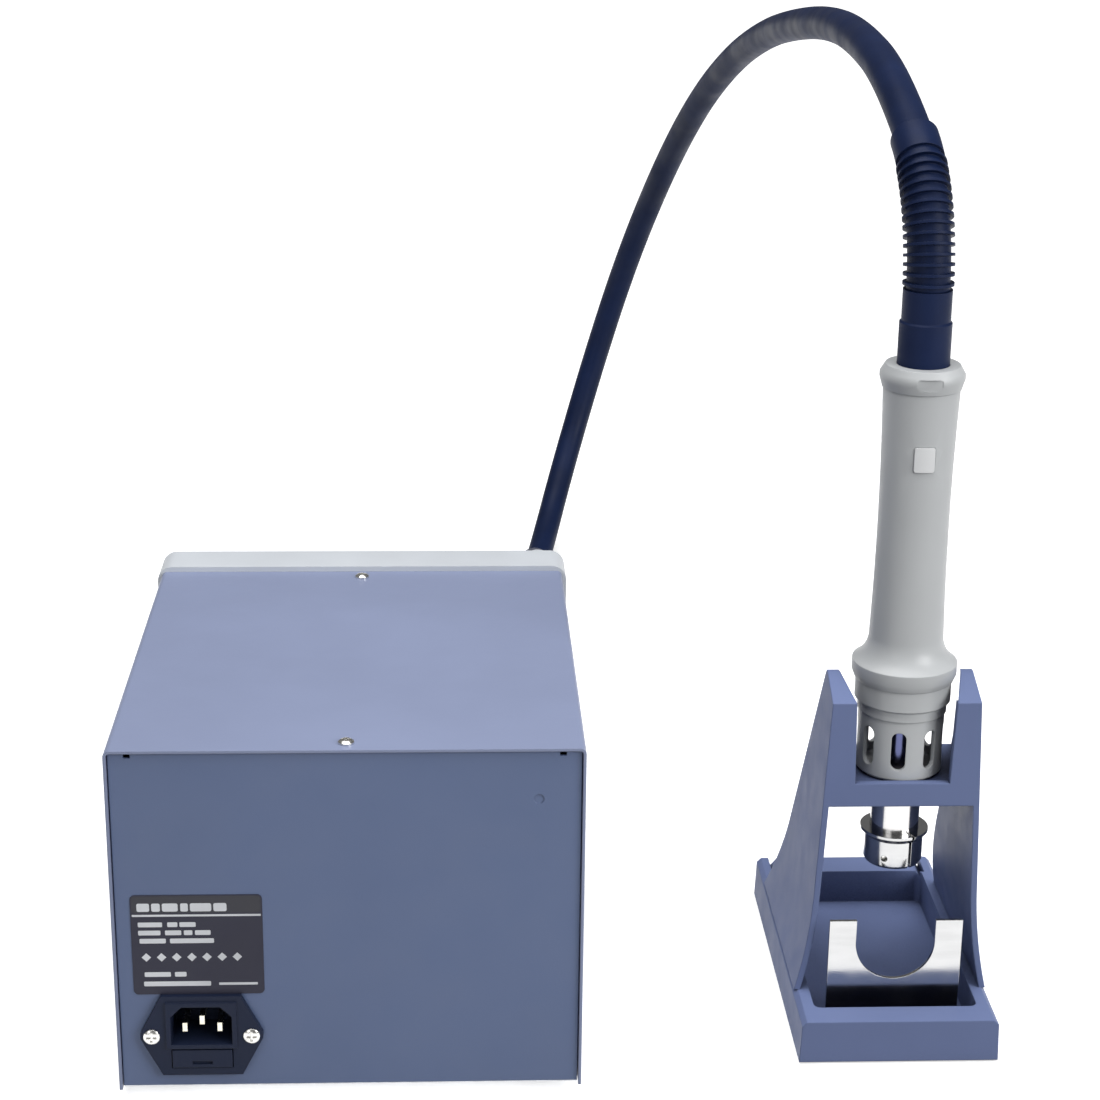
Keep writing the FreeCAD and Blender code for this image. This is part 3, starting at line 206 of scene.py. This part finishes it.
def plated(name, base, rough=0.28):
    """Zinc or nickel plating with a soft crystalline mottle."""
    paint = Paint(name)
    paint.colour(base, 0.1, 320.0)
    paint.rough(rough - 0.08, rough + 0.1, 500.0)
    paint.relief(paint.noise(1800.0, 2.0), 0.00001, 0.0003)
    return paint.set(Metallic=1.0).material


CASE = (0.225, 0.262, 0.40)
# Painted shade: the rear panel takes the case paint made darker, for the shade it stands in.
CASE_PAINT_IN_SHADE = (0.105, 0.146, 0.268)
STAND = (0.145, 0.185, 0.34)
PALE = (0.56, 0.59, 0.63)
GRIP = (0.46, 0.475, 0.485)
NAVY = (0.005, 0.012, 0.045)
INK = (0.72, 0.74, 0.78)

LOOKS = {
    "case_paint": powder_coat("powder_coat_case", CASE),
    "panel_paint": powder_coat("powder_coat_panel_painted_shade", CASE_PAINT_IN_SHADE),
    "zinc_sheet": plated("zinc_sheet", (0.55, 0.56, 0.58), 0.35),
    "pale_plastic": moulded("pale_moulding", PALE, 0.4),
    "fascia_plastic": moulded("fascia", (0.03, 0.04, 0.09), 0.45),
    "window_plastic": moulded("tinted_window", (0.006, 0.007, 0.012), 0.12, 0.2, 0.000002, 0.0003),
    "key_rubber": soft_rubber("key_silicone", (0.42, 0.45, 0.5), 0.5),
    "inlet_plastic": moulded("inlet_moulding", (0.012, 0.018, 0.042), 0.42, 0.08, shine=0.16),
    "label_film": moulded("label_film", (0.036, 0.036, 0.056), 0.4, 0.06, 0.000006, 0.0001, 0.2),
    "nickel_screw": plated("nickel", (0.72, 0.71, 0.68), 0.2),
    "pin_brass": plated("plated_pin", (0.74, 0.70, 0.58), 0.2),
    "foot_rubber": soft_rubber("foot_rubber", (0.014, 0.014, 0.016), 0.6),
    "lamination_steel": plated("laminations", (0.16, 0.16, 0.17), 0.5),
    "coil_wrap": moulded("coil_wrap", (0.5, 0.3, 0.05), 0.5, 0.12),
    "board_laminate": moulded("board_laminate", (0.015, 0.11, 0.05), 0.3, 0.1),
    "part_plastic": moulded("part_moulding", (0.02, 0.022, 0.027), 0.35),
    "heatsink_alloy": plated("extruded_alloy", (0.6, 0.61, 0.63), 0.35),
    "blower_plastic": moulded("blower_moulding", (0.022, 0.024, 0.03), 0.5),
    "hose_rubber": soft_rubber("hose_rubber", NAVY, 0.5, shine=0.13),
    "grip_plastic": moulded("grip_moulding", GRIP, 0.38, 0.02, 0.000016, 0.0006),
    "patch_plastic": moulded("patch_moulding", (0.70, 0.71, 0.72), 0.35),
    "polished_steel": polished("polished_steel", (0.5, 0.5, 0.5)),
    "ceramic": moulded("ceramic", (0.70, 0.66, 0.56), 0.75, 0.05),
    "heater_wire": plated("heater_wire", (0.22, 0.19, 0.17), 0.5),
    # The stand's moulding has shade painted into its recesses, within 0.07 m.
    "stand_plastic": moulded("stand_moulding_painted_shade", STAND, 0.5, 0.03, 0.000018, 0.0009, 0.15, 0.07),
}


def clear_glass():
    paint = Paint("clear_glass")
    paint.colour((0.9, 0.93, 0.95), 0.02, 200.0)
    paint.rough(0.03, 0.08, 300.0)
    return paint.set(Transmission_Weight=0.9, IOR=1.5).material


LOOKS["fuse_glass"] = clear_glass()

slots = {part["node"]: part["material_slot"] for part in frame["record"]["subparts"]}
CREASE = math.radians(32)


def dress(node, look):
    """Gives a CAD node its material, smooth shading across curves and crisp creases."""
    obj = nodes[node]
    obj.data.materials.clear()
    obj.data.materials.append(look)
    if "custom_normal" in obj.data.attributes:
        obj.data.attributes.remove(obj.data.attributes["custom_normal"])
    for face in obj.data.polygons:
        face.use_smooth = True
    weld = obj.modifiers.new("weld", "WELD")
    weld.merge_threshold = 0.00001
    crease = obj.modifiers.new("crease", "EDGE_SPLIT")
    crease.split_angle = CREASE


# The heater tube has its own blued look; every other node takes the look of its slot.
own_looks = {"heater_tube": heat_tinted("heat_tinted_tube")}
for node in nodes:
    dress(node, own_looks.get(node) or LOOKS[slots[node]])


# ------------------------------------------------------------------ mesh helpers
def new_piece(name, mesh_data, body, slot_name, look=None, smooth=True):
    obj = bpy.data.objects.new(name, mesh_data)
    bpy.context.scene.collection.objects.link(obj)
    obj.data.materials.append(look or LOOKS[slot_name])
    for face in obj.data.polygons:
        face.use_smooth = smooth
    if body:
        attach(obj, body)
    return obj


def spline_points(name, points, steps):
    """Points read from a quadratic NURBS spline with these control points."""
    curve = bpy.data.curves.new(name, "CURVE")
    curve.dimensions = "3D"
    curve.resolution_u = steps
    spline = curve.splines.new("NURBS")
    spline.points.add(len(points) - 1)
    for point, place in zip(spline.points, points):
        point.co = (*place, 1.0)
    spline.order_u = 3
    spline.use_endpoint_u = True
    carrier = bpy.data.objects.new(name, curve)
    bpy.context.scene.collection.objects.link(carrier)
    bpy.context.view_layer.update()
    mesh = bpy.data.meshes.new_from_object(carrier.evaluated_get(bpy.context.evaluated_depsgraph_get()))
    places = [v.co.copy() for v in mesh.vertices]
    bpy.data.objects.remove(carrier)
    bpy.data.meshes.remove(mesh)
    return places


def tube(name, path, radius, around=32):
    """A closed round tube that follows a path, without twist."""
    mesh = bmesh.new()
    rings = []
    side = Vector((1, 0, 0))
    for i, place in enumerate(path):
        ahead = path[min(i + 1, len(path) - 1)] - path[max(i - 1, 0)]
        ahead.normalize()
        side = (side - ahead * side.dot(ahead)).normalized()
        up = ahead.cross(side)
        rings.append([
            mesh.verts.new(place + radius * (side * math.cos(a) + up * math.sin(a)))
            for a in (2 * math.pi * k / around for k in range(around))
        ])
    for low, high in zip(rings, rings[1:]):
        for k in range(around):
            n = (k + 1) % around
            mesh.faces.new((low[k], low[n], high[n], high[k]))
    mesh.faces.new(list(reversed(rings[0])))
    mesh.faces.new(rings[-1])
    mesh.normal_update()
    data = bpy.data.meshes.new(name)
    mesh.to_mesh(data)
    mesh.free()
    return data


# ------------------------------------------------------------------ the hose
# The route runs from the outlet down to the bench, along it and up to the ribbed boot.
HOSE_DIAMETER = 0.016
HOSE_ROUTE = [
    Vector(p) * MM for p in (
        (4, -123.3, 138.8),
        (4, -162.3, 130.5),
        (4, -214, 107),
        (5, -287, 71),
        (3, -369, 32),
        (-3, -452, 8.3),
        (-14, -531, 8.3),
        (-31, -589, 50),
        (-53, -615, 120),
        (-73, -603, 192),
        (-92, -561, 259),
        (-107, -498, 312),
        (-119, -424, 349),
        (-128, -343, 373),
        (-133, -261, 387),
        (-135, -178, 397),
        (-135, -98, 401),
        (-137.2, -16.4, 393.4),
        (-140.3, 28.4, 371.5),
    )
]
hose_path = spline_points("hose_route", HOSE_ROUTE, 24)
hose = new_piece("hose", tube("hose", hose_path, HOSE_DIAMETER / 2, 40), None, "hose_rubber")
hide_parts("air_hose")
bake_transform(hose)


# ------------------------------------------------------------------ generic print on the rating label
LABEL_LEFT, LABEL_TOP, LABEL_FACE = 0.174, 0.0918, 0.1278
PRINT_LIFT = 0.00005
BAND_LIFT = PRINT_LIFT * 0.4
LINE_HEIGHT, HEADING_HEIGHT = 2.1, 3.6
DIAMONDS, FIRST_DIAMOND, DIAMOND_PITCH, DIAMOND_LEVEL, DIAMOND_RADIUS = 7, 5.6, 6.0, 27.4, 1.9


def flat_shape(mesh, outline, lift=PRINT_LIFT):
    """A printed patch; outline points are (metres from the label's left, metres below its top)."""
    front = [mesh.verts.new((LABEL_LEFT - x, LABEL_FACE + lift, LABEL_TOP - z)) for x, z in outline]
    mesh.faces.new(front)


def bar(mesh, x, z, width, height, lift=PRINT_LIFT):
    """A printed bar with rounded corners."""
    radius = min(height, width) * 0.2
    outline = []
    for cx, cz, start in ((x + width - radius, z + radius, 270), (x + width - radius, z + height - radius, 0),
                          (x + radius, z + height - radius, 90), (x + radius, z + radius, 180)):
        for step in range(4):
            angle = math.radians(start + step * 30)
            outline.append((cx + radius * math.cos(angle), cz + radius * math.sin(angle)))
    flat_shape(mesh, outline, lift)


def diamond(mesh, x, z, radius):
    flat_shape(mesh, [(x + radius, z), (x, z + radius), (x - radius, z), (x, z - radius)])


def printed(name, draw, look):
    mesh = bmesh.new()
    draw(mesh)
    bmesh.ops.recalc_face_normals(mesh, faces=mesh.faces)
    for face in mesh.faces:
        if face.normal.y < 0:
            face.normal_flip()
    data = bpy.data.meshes.new(name)
    mesh.to_mesh(data)
    mesh.free()
    return new_piece(name, data, "station", "label_film", look, smooth=False)


def light_print(mesh):
    """Heading bars, a rule, rows of bars and a row of diamonds, in millimetres on the label."""
    for x, width in ((2.6, 5.0), (8.4, 3.4), (12.6, 6.2), (19.8, 3.0), (23.6, 8.4), (32.8, 5.2)):
        bar(mesh, x * MM, 3.6 * MM, width * MM, HEADING_HEIGHT * MM)
    bar(mesh, 0.6 * MM, 8.5 * MM, 50.8 * MM, 0.9 * MM)
    rows = ((11.9, ((2.8, 9.6), (14.4, 4.0), (19.2, 6.4))),
            (15.5, ((2.8, 8.8), (13.4, 6.4), (20.8, 3.4), (25.2, 6.2))),
            (19.1, ((3.2, 10.4), (15.2, 17.4))),
            (34.0, ((4.6, 10.4), (16.6, 4.6))),
            (38.2, ((4.2, 26.6),)))
    for z, bars in rows:
        for x, width in bars:
            bar(mesh, x * MM, z * MM, width * MM, LINE_HEIGHT * MM)
    bar(mesh, 34.0 * MM, 38.9 * MM, 15.4 * MM, 1.1 * MM)
    for column in range(DIAMONDS):
        x = FIRST_DIAMOND + DIAMOND_PITCH * column
        diamond(mesh, x * MM, DIAMOND_LEVEL * MM, DIAMOND_RADIUS * MM)


def header_band(mesh):
    """A dark band behind the heading."""
    bar(mesh, 0.5 * MM, 0.5 * MM, 50.9 * MM, 7.4 * MM, BAND_LIFT)


printed("label_header", header_band, moulded("header_ink", (0.006, 0.006, 0.014), 0.4, 0.1, 0.000004, 0.0))
printed("label_print", light_print, moulded("light_ink", INK, 0.5, 0.12, 0.000004, 0.0))


# ------------------------------------------------------------------ arrowheads printed on the keys
KEY_FACE, KEY_LIFT = -0.1022, 0.00004
ARROW_HALF_WIDTH, ARROW_FOOT, ARROW_TIP = 0.0024, 0.0014, 0.0022


def key_arrow(node, pointing_up):
    """A small arrowhead just in front of a key's face."""
    low, high = nodes[node].bound_box[0], nodes[node].bound_box[6]
    middle, height = (low[0] + high[0]) / 2, (low[2] + high[2]) / 2
    way = 1 if pointing_up else -1
    mesh = bmesh.new()
    corners = [(-ARROW_HALF_WIDTH, -ARROW_FOOT), (ARROW_HALF_WIDTH, -ARROW_FOOT), (0.0, ARROW_TIP)]
    face = mesh.faces.new([mesh.verts.new((middle + x, KEY_FACE - KEY_LIFT, height + way * z))
                           for x, z in corners])
    face.normal_update()
    if face.normal.y > 0:
        face.normal_flip()
    data = bpy.data.meshes.new(node + "_mark")
    mesh.to_mesh(data)
    mesh.free()
    new_piece(node + "_mark", data, node, "key_rubber", key_ink, smooth=False)


key_ink = moulded("key_ink", (0.75, 0.77, 0.8), 0.5, 0.08, 0.000004, 0.0)
for kind in ("air", "heat"):
    key_arrow("key_" + kind + "_down", False)
    key_arrow("key_" + kind + "_up", True)


# ------------------------------------------------------------------ floor, light and camera
def stage_floor():
    bpy.ops.mesh.primitive_plane_add(size=30, location=(0, 0, -0.0002))
    floor = bpy.context.object
    floor.name = "floor"
    paint = Paint("floor_sweep")
    paint.colour((0.93, 0.93, 0.935), 0.004, 2.0)
    paint.set(Roughness=0.9, Specular_IOR_Level=0.1, Emission_Color=(1, 1, 1, 1))
    reach = paint.add("ShaderNodeVectorMath", operation="LENGTH")
    paint.link(paint.place, reach.inputs[0])
    glow = paint.add("ShaderNodeMapRange")
    for socket, value in (("From Min", 0.6), ("From Max", 3.0), ("To Min", 0.5), ("To Max", 1.0)):
        glow.inputs[socket].default_value = value
    paint.link(reach.outputs["Value"], glow.inputs["Value"])
    paint.link(glow.outputs["Result"], paint.shader.inputs["Emission Strength"])
    floor.data.materials.append(paint.material)
    floor.visible_diffuse = False


def area_light(name, place, target, size, power):
    data = bpy.data.lights.new(name, "AREA")
    data.shape = "RECTANGLE"
    data.size, data.size_y = size
    data.energy = power
    lamp = bpy.data.objects.new(name, data)
    lamp.location = place
    lamp.rotation_euler = (Vector(target) - Vector(place)).to_track_quat("-Z", "Y").to_euler()
    bpy.context.scene.collection.objects.link(lamp)


def studio_world():
    world = bpy.data.worlds.new("studio")
    world.use_nodes = True
    world.node_tree.nodes["Background"].inputs["Color"].default_value = (1, 1, 1, 1)
    world.node_tree.nodes["Background"].inputs["Strength"].default_value = 0.2
    bpy.context.scene.world = world


def fitted_camera():
    """Camera behind the unit, a little above it, looking towards its front."""
    yaw, pitch, roll = -0.0456, 0.3295, 0.012
    ahead = Vector((math.sin(yaw) * math.cos(pitch), -math.cos(yaw) * math.cos(pitch), -math.sin(pitch)))
    right = ahead.cross(Vector((0, 0, 1))).normalized()
    up = right.cross(ahead)
    turned_right = right * math.cos(roll) + up * math.sin(roll)
    turned_up = up * math.cos(roll) - right * math.sin(roll)
    data = bpy.data.cameras.new("camera")
    data.sensor_width = 36.0
    data.lens = 78.545
    data.dof.use_dof = False
    data.clip_end = 60
    camera = bpy.data.objects.new("camera", data)
    axes = Matrix((turned_right, turned_up, -ahead)).transposed()
    camera.matrix_world = Matrix.Translation((0.0488, 0.9839, 0.5282)) @ axes.to_4x4()
    bpy.context.scene.collection.objects.link(camera)
    bpy.context.scene.camera = camera


stage_floor()
studio_world()
area_light("top_softbox", (0.1, 0.15, 1.9), (0, -0.05, 0.1), (1.6, 1.6), 36)
area_light("key_softbox", (-1.35, 1.1, 0.95), (0, 0, 0.12), (1.0, 0.9), 22)
area_light("fill_softbox", (1.1, 1.8, 0.9), (0, 0, 0.15), (0.9, 0.9), 5)
fitted_camera()
bpy.context.scene.view_settings.view_transform = "Standard"
